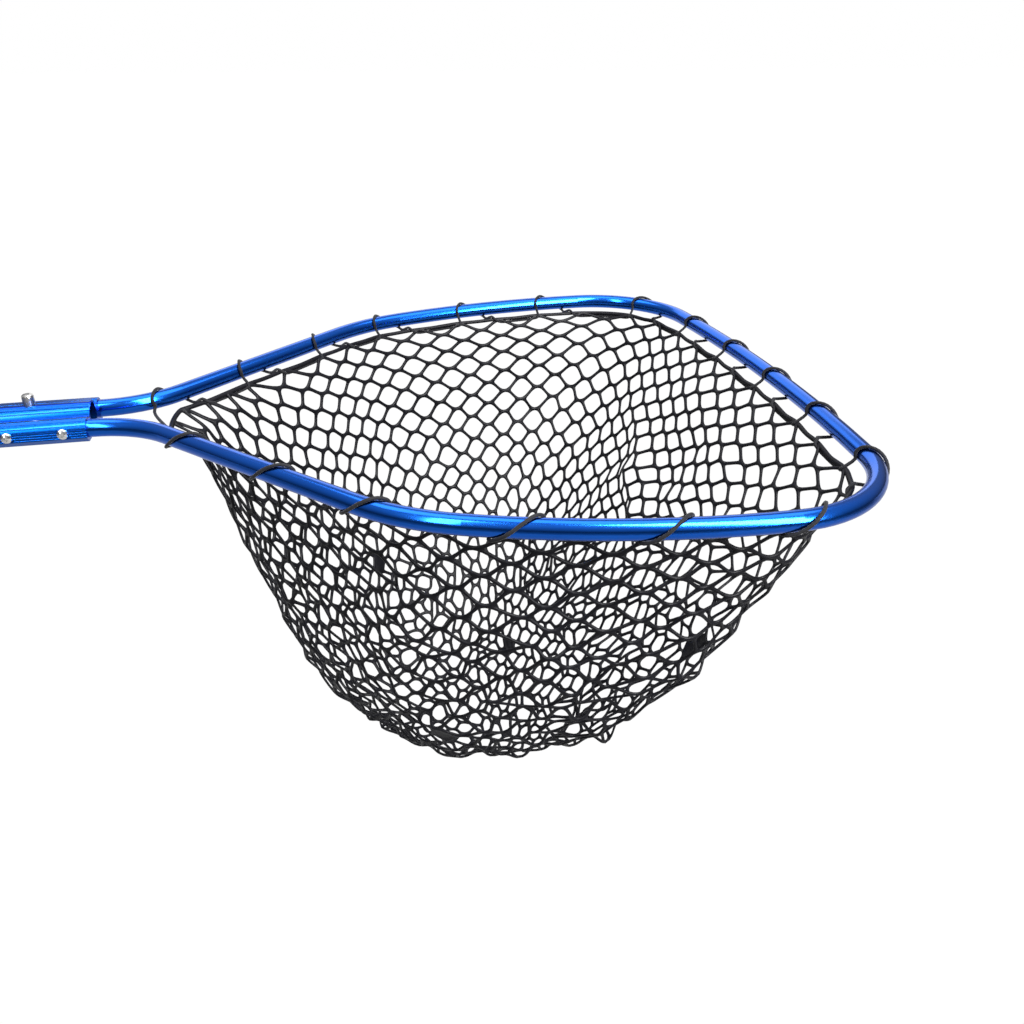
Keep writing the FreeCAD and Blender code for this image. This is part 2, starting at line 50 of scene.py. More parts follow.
ARM_GAP = 24.0
ARM_LEAD = 2.0
NECK_RADIUS = 90.0
NECK_ANGLE = math.radians(46.5)
SHOULDER_RADIUS = 190.0
SIDE_RADIUS = 690.0
CORNER_RADIUS = 108.0
FAR_RADIUS = 1850.0
WIDEST = complex(527.0, 301.5)
TUBE_RADIUS = 8.0
STRAIGHT_STEPS = 20
# how far either side of a place its direction is measured
WAY_REACH = 3


def arc_points(centre, start, end, step=2.0):
    """Points along the short arc about a centre, without its last point."""
    turn = cmath.phase((end - centre) / (start - centre))
    count = max(2, round(abs(turn) * abs(start - centre) / step))
    return [centre + (start - centre) * np.exp(1j * turn * i / count) for i in range(count)]


def half_hoop():
    """The left half of the hoop's centreline from the yoke's face to the middle of the far edge."""
    forward = complex(math.cos(NECK_ANGLE), math.sin(NECK_ANGLE))
    inward = forward * -1j
    neck_start = complex(ARM_LEAD, ARM_GAP)
    neck_centre = neck_start + 1j * NECK_RADIUS
    neck_end = neck_centre + inward * NECK_RADIUS
    side_centre = WIDEST - 1j * SIDE_RADIUS
    base = neck_end + inward * SHOULDER_RADIUS - side_centre
    along = (base * forward.conjugate()).real
    run = math.sqrt(along ** 2 - abs(base) ** 2 + (SIDE_RADIUS - SHOULDER_RADIUS) ** 2) - along
    shoulder_start = neck_end + forward * run
    shoulder_centre = shoulder_start + inward * SHOULDER_RADIUS
    ray = shoulder_centre - side_centre
    side_start = side_centre + ray / abs(ray) * SIDE_RADIUS
    corner_centre = WIDEST - 1j * CORNER_RADIUS
    back = math.sqrt((FAR_RADIUS - CORNER_RADIUS) ** 2 - corner_centre.imag ** 2)
    far_centre = complex(corner_centre.real - back, 0)
    ray = corner_centre - far_centre
    corner_end = far_centre + ray / abs(ray) * FAR_RADIUS
    points = [complex(0, ARM_GAP)]
    points += arc_points(neck_centre, neck_start, neck_end)
    straight = shoulder_start - neck_end
    points += [neck_end + straight * i / STRAIGHT_STEPS for i in range(STRAIGHT_STEPS)]
    points += arc_points(shoulder_centre, shoulder_start, side_start)
    points += arc_points(side_centre, side_start, WIDEST)
    points += arc_points(corner_centre, WIDEST, corner_end)
    points += arc_points(far_centre, corner_end, far_centre + FAR_RADIUS)
    return points + [far_centre + FAR_RADIUS]


HALF = np.array(half_hoop())
HOOP = np.concatenate([HALF, HALF[::-1].conj()[1:]])
HOOP_AT = np.concatenate([[0], np.cumsum(abs(np.diff(HOOP)))])
HOOP_LENGTH = HOOP_AT[-1]


def hoop(s):
    """Centreline point and inward direction at arc length s, as complex numbers."""
    s = np.asarray(s, float)
    before, spot, after = (
        np.interp(at, HOOP_AT, HOOP.real) + 1j * np.interp(at, HOOP_AT, HOOP.imag)
        for at in (s - WAY_REACH, s, s + WAY_REACH))
    way = (after - before) / abs(after - before)
    return spot, way * -1j


# ------------------------------------------------------------------ bag surface

THROAT_X = 62.0
BAG_DEPTH = 360.0
RIM_DROP = 12.0
RIM_INSET = 19.0
LOWEST_X = 280.0
BAG_CENTRE = np.array([330.0, 0.0, -110.0])
OUTLINE_CENTRE = 350.0
# part of the hoop at either arm that has no net, and points taken of the rest
OUTLINE_END = 40
OUTLINE_POINTS = 900
# how the near wall, the far wall and the sides close in: powers of the share of the depth
NEAR_FALL, NEAR_ROUND = 0.5, 3.75
FAR_FALL, FAR_ROUND = 0.75, 2.4
SIDE_FALL, SIDE_ROUND = 1.9, 2.25
# the rays from the bag's middle are searched this far out, halving the gap each round
RAY_LENGTH = 900.0
SEARCH_ROUNDS = 26


def polar_outline():
    """The rim outline's angles and radii about its centre, repeated so that lookups go round,
    and its lowest and highest x."""
    s = np.linspace(OUTLINE_END, HOOP_LENGTH - OUTLINE_END, OUTLINE_POINTS)
    spot, inward = hoop(s)
    rim = (spot + inward * RIM_INSET)[spot.real > THROAT_X]
    ray = rim - OUTLINE_CENTRE
    order = np.argsort(np.angle(ray))
    angle, radius = np.angle(ray)[order], abs(ray)[order]
    low, high = rim.real.min(), rim.real.max()
    angle = np.concatenate([angle - 2 * np.pi, angle, angle + 2 * np.pi])
    return angle, np.tile(radius, 3), low, high


OUT_ANGLE, OUT_RADIUS, RIM_LOW, RIM_HIGH = polar_outline()


def bag_section(fall):
    """The bag's lowest and highest x and its share of the rim's breadth at a share of its depth."""
    near = LOWEST_X + (RIM_LOW - LOWEST_X) * (1 - fall ** NEAR_FALL) ** (1 / NEAR_ROUND)
    far = LOWEST_X + (RIM_HIGH - LOWEST_X) * (1 - fall ** FAR_FALL) ** (1 / FAR_ROUND)
    return near, far, (1 - fall ** SIDE_FALL) ** (1 / SIDE_ROUND)


def fullness(points):
    """Above 1 outside the bag's surface, below 1 inside, 1 on it."""
    fall = np.clip((-RIM_DROP - points[:, 2]) / BAG_DEPTH, 0, 0.99999)
    near, far, narrow = bag_section(fall)
    x = RIM_LOW + (RIM_HIGH - RIM_LOW) * (points[:, 0] - near) / (far - near)
    ray = x - OUTLINE_CENTRE + 1j * points[:, 1] / narrow
    value = abs(ray) / np.interp(np.angle(ray), OUT_ANGLE, OUT_RADIUS)
    return np.where(-RIM_DROP - points[:, 2] >= BAG_DEPTH, 9.0, value)


def onto_bag(points):
    """Points moved along rays from the bag's middle until they lie on its surface."""
    ray = points - BAG_CENTRE
    ray = ray / np.linalg.norm(ray, axis=1)[:, None]
    low, high = np.zeros(len(points)), np.full(len(points), RAY_LENGTH)
    for _ in range(SEARCH_ROUNDS):
        middle = (low + high) / 2
        outside = fullness(BAG_CENTRE + ray * middle[:, None]) > 1
        high = np.where(outside, middle, high)
        low = np.where(outside, low, middle)
    return BAG_CENTRE + ray * low[:, None]


# ------------------------------------------------------------------ rim band

WRAP_FIRST = 51.0
WRAP_PITCH = 106.6
WRAPS = 18
COLUMNS = 2 * WRAPS + 4
# where each wrap crosses the top of the tube, as a departure from even spacing
WRAP_DRIFT = [0, -7, -6, -16, -10, -11, 17, 18, 9, -3, -13, -20, 1, -3, -4, 7, 0, 1]
LIFT_AHEAD = 6.0
TAB_BEHIND = 38.0
# arc lengths between which the band follows the hoop; beyond them it bows across the throat
BAND_START = 65.0
BAND_END = 1905.0
BAND_MIDDLE = (63.0, 0.0, -15.0)
BAND_STEP = 3.0
BOW_STEPS = 25
THROAT_COLUMNS = 8
# the band hangs slacker past these x, beside the far corners
SLACK_FROM, SLACK_FULL = 560, 635
SLACK_AHEAD = 50


def wrap_at(index):
    """Arc length where a wrap crosses over the tube."""
    return WRAP_FIRST + WRAP_PITCH * index + WRAP_DRIFT[index]


def smooth(a, b, x):
    """A smooth step: 0 at a, 1 at b."""
    t = np.clip((x - a) / (b - a), 0, 1)
    return t * t * (3 - 2 * t)


LIFTS = [wrap_at(index) - LIFT_AHEAD for index in range(WRAPS)]


def band_offsets():
    """Arc lengths with the band's inset and drop: close where the cord lifts or ties it."""
    knots = [(BAND_START, 11.0, 12.0), (BAND_START + 30, 14.0, 12.0)]
    for index in range(1, WRAPS):
        lift, tab = LIFTS[index], wrap_at(index) + TAB_BEHIND
        slack = smooth(SLACK_FROM, SLACK_FULL, float(hoop(lift + SLACK_AHEAD)[0].real))
        between = (tab + lift + WRAP_PITCH) / 2
        knots += [(lift, 13.5 + 3.5 * slack, 10.5), (tab - 20, 14.2 + 4 * slack, 11.2 + slack),
                  (tab, 13.8 + 3.5 * slack, 10.8), (between, 14.6 + 4.2 * slack, 11.4 + slack)]
    knots[-2:] = [(BAND_END, 11.0, 12.0)]
    return np.array(knots).T


def band_curve():
    """The band as a closed run of points, with the length along it and the hoop's arc length."""
    at, insets, drops = band_offsets()
    s = np.arange(BAND_START, BAND_END + 1, BAND_STEP)
    soft = np.ones(5) / 5
    inset = np.convolve(np.pad(np.interp(s, at, insets), 2, "edge"), soft, "valid")
    drop = np.convolve(np.pad(np.interp(s, at, drops), 2, "edge"), soft, "valid")
    spot, inward = hoop(s)
    ring = spot + inward * inset
    points = np.column_stack([ring.real, ring.imag, -drop])
    share = np.linspace(0, 1, BOW_STEPS)[1:-1, None]
    first, last, middle = points[-1], points[0], np.array(BAND_MIDDLE)
    bow = (middle - (first + last) / 2) * (1 - abs(share * 2 - 1) ** 3)
    points = np.vstack([points, first + (last - first) * share + bow, points[:1]])
    along = np.concatenate([[0], np.cumsum(np.linalg.norm(np.diff(points, axis=0), axis=1))])
    return points, along, s


BAND, BAND_ALONG, BAND_HOOP_AT = band_curve()
BAND_LENGTH = BAND_ALONG[-1]


def band(along):
    """Points of the band at lengths along it, going round past its end."""
    along = np.mod(np.asarray(along, float), BAND_LENGTH)
    return np.column_stack([np.interp(along, BAND_ALONG, BAND[:, k]) for k in range(3)])


def band_stations():
    """Length along the band of each rim node: two to a wrap, and closer across the throat."""
    ties = np.interp(LIFTS[1:], BAND_HOOP_AT, BAND_ALONG[:len(BAND_HOOP_AT)])
    stations = [ties[0]]
    for tie in ties[1:]:
        stations += [(stations[-1] + tie) / 2, tie]
    gap = BAND_LENGTH - ties[-1] + ties[0]
    throat = [ties[-1] + gap * k / THROAT_COLUMNS for k in range(1, THROAT_COLUMNS)]
    return np.array(stations + throat)


# ------------------------------------------------------------------ net lattice

RINGS = 13
PATCH = COLUMNS // 4
BAR_LENGTH = 24.0
BAR_STEPS = 5
RELAX_ROUNDS = 260
# each round moves a node by its bars' pull and a little towards the middle of its neighbours
BAR_PULL, NODE_PULL, EVENING = 0.45, 1.6, 0.25
PATCH_TURN = 2
FLOOR_ROUNDS = 400
FLOOR_SHIFT, SHIFT_FALL = 75.0, 0.7
# half the bag's breadth, and the share of the way from rim to lowest point that the wall takes
HALF_BREADTH = 282
WALL_SHARE = 0.7


def wall_falls():
    """Depth shares of the wall's rings, evenly spaced along the wall."""
    q = np.linspace(1, 0, 400)
    fall = (1 - q ** SIDE_ROUND) ** (1 / SIDE_FALL)
    steps = np.hypot(np.diff(q) * HALF_BREADTH, np.diff(fall) * BAG_DEPTH)
    along = np.concatenate([[0], np.cumsum(steps)])
    return np.interp(np.linspace(0, along[-1] * WALL_SHARE, RINGS + 1), along, fall)


def lattice():
    """Node places and four-cornered faces of the coarse mesh under the net. The places are the
    faces' corners, the rim's first, and then the faces' middles."""
    rim = band(band_stations())
    rows = []
    for fall in wall_falls():
        near, far, narrow = bag_section(fall)
        x = near + (rim[:, 0] - RIM_LOW) / (RIM_HIGH - RIM_LOW) * (far - near)
        x = x + FLOOR_SHIFT * fall ** SHIFT_FALL
        height = np.full(COLUMNS, -RIM_DROP - BAG_DEPTH * fall)
        rows.append(np.column_stack([x, rim[:, 1] * narrow, height]))
    rows[0] = rim
    places = np.vstack(rows)
    faces = []
    for ring in range(RINGS):
        for col in range(COLUMNS):
            here, beside = ring * COLUMNS + col, ring * COLUMNS + (col + 1) % COLUMNS
            faces.append([here, beside, beside + COLUMNS, here + COLUMNS])
    # the floor is a square patch whose border is the last ring
    border = [(k, 0) for k in range(PATCH)] + [(PATCH, k) for k in range(PATCH)]
    border += [(PATCH - k, PATCH) for k in range(PATCH)] + [(0, PATCH - k) for k in range(PATCH)]
    grid = {cell: RINGS * COLUMNS + (k + PATCH_TURN) % COLUMNS for k, cell in enumerate(border)}
    inner = [(i, j) for i in range(1, PATCH) for j in range(1, PATCH)]
    for k, cell in enumerate(inner):
        grid[cell] = len(places) + k
    middle = places[-COLUMNS:].mean(0)
    places = np.vstack([places, np.tile(middle, (len(inner), 1))])
    for _ in range(FLOOR_ROUNDS):
        for i, j in inner:
            beside = [grid[i - 1, j], grid[i + 1, j], grid[i, j - 1], grid[i, j + 1]]
            places[grid[i, j]] = places[beside].mean(0)
    for i in range(PATCH):
        for j in range(PATCH):
            faces.append([grid[i, j], grid[i + 1, j], grid[i + 1, j + 1], grid[i, j + 1]])
    faces = np.array(faces)
    places = np.vstack([places, places[faces].mean(1)])
    return places, faces


def relax(places, faces):
    """Even out the bars' lengths on the bag's surface while the rim stays where it is."""
    corners = len(places) - len(faces)
    bars = np.array([(v, corners + k) for k, face in enumerate(faces) for v in face])
    spread = np.bincount(bars.ravel(), minlength=len(places))[:, None]
    free = np.arange(COLUMNS, len(places))
    for _ in range(RELAX_ROUNDS):
        way = places[bars[:, 1]] - places[bars[:, 0]]
        length = np.linalg.norm(way, axis=1)[:, None]
        push = way * (1 - BAR_LENGTH / length) * BAR_PULL
        move = np.zeros_like(places)
        np.add.at(move, bars[:, 0], push)
        np.add.at(move, bars[:, 1], -push)
        around = np.zeros_like(places)
        np.add.at(around, bars[:, 0], places[bars[:, 1]])
        np.add.at(around, bars[:, 1], places[bars[:, 0]])
        step = move / spread * NODE_PULL + (around / spread - places) * EVENING
        places[free] = onto_bag(places[free] + step[free])
    return places, bars


def outward_normals(places, faces):
    """Unit normals of the lattice nodes, pointing out of the bag."""
    a, b, c, d = (places[faces[:, k]] for k in range(4))
    flat = np.cross(c - a, d - b)
    flat *= np.sign(((places[faces].mean(1) - BAG_CENTRE) * flat).sum(1))[:, None]
    total = np.zeros_like(places)
    for k in range(4):
        np.add.at(total, faces[:, k], flat)
    total[len(places) - len(faces):] = flat
    return total / np.linalg.norm(total, axis=1)[:, None]


# folds of the far wall: the ends of each, how far it is pushed in and how wide it is
FOLDS = [((548, 140, -95), (530, 20, -175), 15, 20), ((604, 92, -38), (590, -60, -75), 9, 22)]


def fold_depth(places):
    """How far each node is pushed into the bag by the folds."""
    depth = np.zeros(len(places))
    for start, end, push, width in FOLDS:
        start, end = np.array(start, float), np.array(end, float)
        along = np.clip((places - start) @ (end - start) / ((end - start) @ (end - start)), 0, 1)
        away = np.linalg.norm(places - start - along[:, None] * (end - start), axis=1)
        depth += push * np.exp(-(away / width) ** 2)
    return depth


# waves over the bag: height, radians per 100 mm along x, y and z, and phase
PUSH_WAVES = [(1.0, (5.1, 2.2, 3.7), 0.3), (1.0, (-2.9, 6.3, 4.1), 1.9),
              (0.6, (9.7, -5.1, -6.2), 4.2), (0.6, (11.0, 8.3, 7.9), 0.0)]
SIDE_WAVES = [(0.6, (0.0, 7.2, 5.5), 0.7), (0.6, (8.8, 0.0, -6.1), 2.1)]
JITTER_SEED = 11


def add_waves(spots, waves):
    return sum(height * np.sin(spots @ np.array(turns) + phase) for height, turns, phase in waves)


def ripple(places, normals):
    """Slack in the rubber: soft waves and uneven cells, most of all in the front wall."""
    spots = places / 100
    x, y, z = spots.T
    waves, side = add_waves(spots, PUSH_WAVES), add_waves(spots, SIDE_WAVES)
    front = smooth(0, -1.6, y)
    loose = 0.7 + 1.3 * front + 0.9 * smooth(4.0, 5.6, x)
    loose *= 1 - 0.6 * smooth(-2.4, -3.3, z)
    # the rim stays where the cord holds it, and the first cells move little
    hold = smooth(0, 1.5, np.abs(z) - 0.12) + 0.25
    hold[:COLUMNS] = 0
    draw = np.random.default_rng(JITTER_SEED)
    uneven = 0.6 + 1.3 * front + 0.5 * smooth(-1.8, -3.0, z)
    jitter = draw.normal(0, 1.0, places.shape) * (uneven * hold)[:, None]
    shift = np.column_stack([side, 0.5 * side, waves * 0.3]) * (loose * hold * 1.3)[:, None]
    push = waves * loose * hold - fold_depth(places) * np.minimum(hold, 1)
    return places + normals * push[:, None] + shift + jitter


# ------------------------------------------------------------------ net strands

BAR_HALF_WIDTH = 1.7
# the slack front wall has drawn out thinner, in full from this y on
THIN_HALF_WIDTH = 1.35
THIN_FROM_Y = -150
BAR_HALF_THICK = 1.25
BAND_HALF_WIDTH = 2.2
BAND_HALF_THICK = 1.9
# each crossing is a short bar along its row of cells, with two strands leaving either end
NODE_HALF_LENGTH = 3.3
NODE_SHARE = 0.16
NODE_WIDENING = 1.08
NODE_STRETCH = 0.34
# the strands' curves leave and reach a crossing with this much of a bar's length
CURVE_PULL = 1.15
# an opening's edge is moved in by a strand's half width over the sine of half its corner's
# angle, a sine that counts as no less than SHARPEST, but by no more than HOLE_SHARE of the way
# to its middle and no less than LEAST_REACH
SHARPEST = 0.42
HOLE_SHARE, LEAST_REACH = 0.7, 0.3
ROUNDINGS = 2
# share of a strand's thickness at a filled cell's middle and just inside its edge
PAD_THICKNESS, PAD_EDGE = 0.72, 0.95
HALF_PROFILE = [(0.0, 1.0), (0.9, 0.55), (0.9, -0.55), (0.0, -1.0)]
# middles of the cells that the mould's gates leave filled
PADS = [(242, 139, -268), (278, -180, -255), (387, 40, -343), (191, -54, -297), (510, -182, -190)]


def hermite(start, end, start_way, end_way, steps):
    """Points of cubic curves between rows of ends, leaving and arriving along the given ways."""
    u = np.linspace(0, 1, steps + 1)[None, :, None]
    a, b, c, d = (v[:, None] for v in (start, end, start_way, end_way))
    return ((2 * u ** 3 - 3 * u ** 2 + 1) * a + (u ** 3 - 2 * u ** 2 + u) * c
            + (3 * u ** 2 - 2 * u ** 3) * b + (u ** 3 - u ** 2) * d)


def unit(v):
    return v / np.maximum(np.linalg.norm(v, axis=-1, keepdims=True), 1e-9)


class Net:
    """The moulded mesh: strands along the lattice's bars with rounded openings between them."""

    def __init__(self):
        places, self.faces = lattice()
        places[COLUMNS:] = onto_bag(places[COLUMNS:])
        places, self.bars = relax(places, self.faces)
        self.places = ripple(places, outward_normals(places, self.faces))
        self.normals = outward_normals(self.places, self.faces)
        self.corners = len(places) - len(self.faces)
        self.bar_at = {(int(v), int(f)): k for k, (v, f) in enumerate(self.bars)}
        self.vertices, self.quads, self.count = [], [], 0
        self.sample_bars()
        self.rhombic_cells()
        self.rim_cells()
        self.rim_band()

    def row_ways(self):
        """The way each crossing's bar points: along its row of cells."""
        corner = self.places[self.faces]
        across = unit(corner[:, 1] + corner[:, 2] - corner[:, 0] - corner[:, 3])
        ways = np.zeros_like(self.places)
        wall = RINGS * COLUMNS
        # the wall's rows count on the ring that the wall and the floor share
        for part in (slice(wall, None), slice(0, wall)):
            total = np.zeros_like(ways)
            for k in range(4):
                np.add.at(total, self.faces[part, k], across[part])
            touched = total.any(1)
            ways[touched] = total[touched]
        ways[self.corners:] = across
        return unit(ways)

    def sample_bars(self):
        """Each bar's path, from the nearer end of one crossing's own bar to that of the next."""
        nodes = [self.bars[:, 0], self.bars[:, 1]]
        middles = [self.places[node] for node in nodes]
        self.rows = self.row_ways()
        reach = np.linalg.norm(middles[1] - middles[0], axis=1)
        shortest = np.full(len(self.places), NODE_HALF_LENGTH / NODE_SHARE)
        for node in nodes:
            np.minimum.at(shortest, node, reach)
        self.half_node = shortest * NODE_SHARE
        self.half_node[:COLUMNS] = 0
        thin = smooth(0, THIN_FROM_Y, self.places[:, 1])
        self.half_width = BAR_HALF_WIDTH + (THIN_HALF_WIDTH - BAR_HALF_WIDTH) * thin
        sides, ends = [], []
        for here, there, node in zip(middles, middles[::-1], nodes):
            side = np.where(((there - here) * self.rows[node]).sum(1) > 0, 1, -1)
            sides.append(side)
            ends.append(here + self.rows[node] * (side * self.half_node[node])[:, None])
        self.sides = np.column_stack(sides)
        length = np.linalg.norm(ends[1] - ends[0], axis=1)[:, None]
        chord = (ends[1] - ends[0]) / length
        leave = chord * (1 - NODE_STRETCH) + self.rows[nodes[0]] * sides[0][:, None] * NODE_STRETCH
        arrive = chord * (1 - NODE_STRETCH) - self.rows[nodes[1]] * sides[1][:, None] * NODE_STRETCH
        pulls = [unit(way) * length * CURVE_PULL for way in (leave, arrive)]
        self.paths = hermite(*ends, *pulls, BAR_STEPS)
        share = np.linspace(0, 1, BAR_STEPS + 1)
        u = share[None, :, None]
        first, last = (self.normals[node][:, None] for node in nodes)
        self.path_normals = unit(first * (1 - u) + last * u)
        at_rim = (self.bars[:, 0] < COLUMNS)[:, None]
        near_rim = 1 - smooth(0, 0.45, share)
        self.thick = BAR_HALF_THICK + (BAND_HALF_THICK - BAR_HALF_THICK) * near_rim * at_rim
        near_node = 1 + (NODE_WIDENING - 1) * np.abs(np.linspace(-1, 1, BAR_STEPS + 1)) ** 6
        first, last = (self.half_width[node][:, None] for node in nodes)
        self.width = (first * (1 - share) + last * share) * near_node

    def walk(self, pairs, corner_first):
        """Samples along the bars between (corner, face node) pairs, and which side of the
        crossing each bar leaves and reaches. The bars run from the corner when corner_first."""
        index = [self.bar_at[pair] for pair in pairs]
        parts = [self.paths[index], self.path_normals[index], self.thick[index], self.width[index]]
        sides = self.sides[index]
        if corner_first:
            return parts, sides[:, 0], sides[:, 1]
        return [part[:, ::-1] for part in parts], sides[:, 1], sides[:, 0]

    def crossing(self, nodes, before):
        """Samples that carry an opening's edge over a crossing's own bar to its other end."""
        nodes = np.array(nodes)
        last = [part[:, -1:] for part in before]
        middle = [self.places[nodes][:, None], self.normals[nodes][:, None], last[2],
                  self.half_width[nodes][:, None] * NODE_WIDENING]
        return [np.concatenate(pair, 1) for pair in zip(last, middle)]

    def add_surface(self, grid, closed):
        """Quads over a grid of points: rows along the strand, columns across its section."""
        cells, rows, across, _ = grid.shape
        index = self.count + np.arange(cells * rows * across).reshape(cells, rows, across)
        after = np.roll(index, -1, axis=1) if closed else index[:, 1:]
        here = index if closed else index[:, :-1]
        quads = np.stack([here[..., :-1], after[..., :-1], after[..., 1:], here[..., 1:]], -1)
        self.vertices.append(grid.reshape(-1, 3))
        self.quads.append(quads.reshape(-1, 4))
        self.count += cells * rows * across

    def add_loops(self, path, normal, thick, width, pads):
        """Strand halves round each opening, and a filled plate in the padded ones."""
        ahead, behind = unit(np.roll(path, -1, 1) - path), unit(np.roll(path, 1, 1) - path)
        inward = unit(np.cross(normal, ahead - behind))
        bend = np.sqrt(np.maximum((1 - (ahead * behind).sum(-1)) / 2, SHARPEST ** 2))
        room = ((path.mean(1, keepdims=True) - path) * inward).sum(-1) * HOLE_SHARE
        reach = np.minimum(width / bend, np.maximum(room, LEAST_REACH))
        hole = path + inward * reach[..., None]
        for _ in range(ROUNDINGS):
            hole = (np.roll(hole, 1, 1) + hole * 3 + np.roll(hole, -1, 1)) / 5
        lift = normal * thick[..., None]
        grid = np.stack([path + (hole - path) * out / HALF_PROFILE[1][0] + lift * up
                         for out, up in HALF_PROFILE], 2)
        self.add_surface(grid[~pads], closed=True)
        for k in np.flatnonzero(pads):
            centre = hole[k].mean(0)
            for up in (1, -1):
                flat = hole[k] + lift[k] * PAD_THICKNESS * up
                hub = centre + lift[k].mean(0) * PAD_THICKNESS * up
                edge = path[k] + (hole[k] - path[k]) * 0.75 + lift[k] * PAD_EDGE * up
                rows = [path[k] + lift[k] * up, edge, flat, flat * 0.5 + hub * 0.5,
                        np.tile(hub, (len(flat), 1))]
                rows = rows if up > 0 else rows[::-1]
                self.add_surface(np.stack(rows, 1)[None], closed=True)

    def add_cells(self, walks, nodes, pads=None):
        """Openings whose edges are walks that end at nodes in turn, sorted by where an
        opening's edge runs over a crossing's own bar."""
        following = walks[1:] + walks[:1]
        flats = np.stack([walk[2] != after[1] for walk, after in zip(walks, following)], 1)
        flats &= self.half_node[np.stack(nodes, 1)] > 0
        pads = np.zeros(len(flats), bool) if pads is None else pads
        for pattern in np.unique(flats, axis=0):
            pick = np.flatnonzero((flats == pattern).all(1))
            runs = []
            for k, (parts, _, _) in enumerate(walks):
                parts = [part[pick] for part in parts]
                runs.append([part[:, :-1] for part in parts])
                if pattern[k]:
                    runs.append(self.crossing(np.array(nodes[k])[pick], parts))
            self.add_loops(*(np.concatenate(column, 1) for column in zip(*runs)), pads[pick])

    def rhombic_cells(self):
        """One opening across each edge that two faces share."""
        beside = {}
        for f, face in enumerate(self.faces):
            for a, b in zip(face, np.roll(face, -1)):
                beside.setdefault(frozenset((int(a), int(b))), []).append((int(a), int(b), f))
        self.rim_edges = [uses[0] for uses in beside.values() if len(uses) == 1]
        pairs = [uses for uses in beside.values() if len(uses) == 2]
        cells = np.array([(one[0], self.corners + other[2], one[1], self.corners + one[2])
                          for one, other in pairs])
        spots = self.places[cells]
        turn = np.cross(spots[:, 2] - spots[:, 0], spots[:, 3] - spots[:, 1])
        inside_out = (turn * (spots.mean(1) - BAG_CENTRE)).sum(1) < 0
        cells[inside_out] = cells[inside_out][:, [0, 3, 2, 1]]
        a, f, b, g = cells.T.tolist()
        walks = [self.walk(zip(a, f), True), self.walk(zip(b, f), False),
                 self.walk(zip(b, g), True), self.walk(zip(a, g), False)]
        away = np.linalg.norm(spots.mean(1) - np.array(PADS, float)[:, None], axis=-1)
        pads = np.zeros(len(cells), bool)
        pads[away.argmin(1)] = True
        self.add_cells(walks, [f, b, g, a], pads)

    def band_samples(self, cols):
        """Paths of the rim band between neighbouring rim nodes, each way round."""
        stations = band_stations()
        steps = 2 * BAR_STEPS
        paths = []
        for col in cols:
            start = stations[col]
            gap = (stations[(col + 1) % COLUMNS] - start) % BAND_LENGTH
            paths.append(band(start + gap * np.linspace(0, 1, steps + 1)))
        paths = np.array(paths)
        after = [(col + 1) % COLUMNS for col in cols]
        paths[:, 0], paths[:, -1] = self.places[cols], self.places[after]
        u = np.linspace(0, 1, steps + 1)[None, :, None]
        normals = unit(self.normals[cols][:, None] * (1 - u) + self.normals[after][:, None] * u)
        sizes = [np.full(paths.shape[:2], size) for size in (BAND_HALF_THICK, BAND_HALF_WIDTH)]
        return [paths, normals, *sizes]

    def rim_cells(self):
        """The half openings between the band and the first row of crossings."""
        cols = [min(a, b) if {a, b} != {0, COLUMNS - 1} else COLUMNS - 1
                for a, b, _ in self.rim_edges]
        nodes = [self.corners + f for _, _, f in self.rim_edges]
        after = [(col + 1) % COLUMNS for col in cols]
        self.rim_paths = self.band_samples(cols)
        level = np.zeros(len(cols), int)
        walks = [(self.rim_paths, level, level), self.walk(zip(after, nodes), True),
                 self.walk(zip(cols, nodes), False)]
        self.add_cells(walks, [after, nodes, cols])

    def rim_band(self):
        """The outer half of the band, away from the half-cells below it."""
        path, normal, thick, _ = self.rim_paths
        along = unit(np.gradient(path, axis=1))
        up = np.cross(along, normal)
        up = unit(up * np.sign(up[..., 2:3] + 1e-9))
        lift = normal * thick[..., None]
        rows = [path + up * BAND_HALF_WIDTH * out + lift * high for out, high in HALF_PROFILE]
        self.add_surface(np.stack(rows, 2), closed=False)


def make_mesh(name, vertices, faces, look, weld=0.0):
    """An object with smooth faces; points closer than weld metres become one."""
    mesh = bpy.data.meshes.new(name)
    mesh.from_pydata([tuple(v) for v in vertices], [], [tuple(f) for f in faces])
    if weld:
        work = bmesh.new()
        work.from_mesh(mesh)
        bmesh.ops.remove_doubles(work, verts=work.verts, dist=weld)
        bmesh.ops.dissolve_degenerate(work, edges=work.edges, dist=weld)
        bmesh.ops.recalc_face_normals(work, faces=work.faces)
        work.to_mesh(mesh)
        work.free()
    mesh.polygons.foreach_set("use_smooth", [True] * len(mesh.polygons))
    mesh.update()
    item = bpy.data.objects.new(name, mesh)
    bpy.context.scene.collection.objects.link(item)
    mesh.materials.append(look)
    return item


# ------------------------------------------------------------------ lacing cord

CORD_RADIUS = 1.5
CORD_STEP = 1.6
CORD_SIDES = 12
CORD_STRANDS = 3
# length of one twist, and the radius of the cord's grooves and rise of its strands
CORD_LAY = 11.0
GROOVE, RISE = 0.86, 0.16
# the gap between the cord and the tube, and between the cord and the band
TUBE_CLEARANCE, BAND_CLEARANCE = 0.15, 0.2
SPLINE_STEPS = 12


def beside_tube(s, angle, radius):
    """A point round the tube at arc length s: angle 0 is inward, 90 is up, 180 is outward."""
    spot, inward = hoop(s)
    turn = math.radians(angle)
    at = spot + inward * radius * math.cos(turn)
    return np.array([float(at.real), float(at.imag), radius * math.sin(turn)])


# angle round the tube and how far the cord has moved on along it by then
WRAP_TURN = [(-16, -6), (12, -7), (38, -6.5), (64, -4), (90, 0), (116, 4), (142, 9),
             (168, 14), (196, 20), (224, 26), (252, 31)]


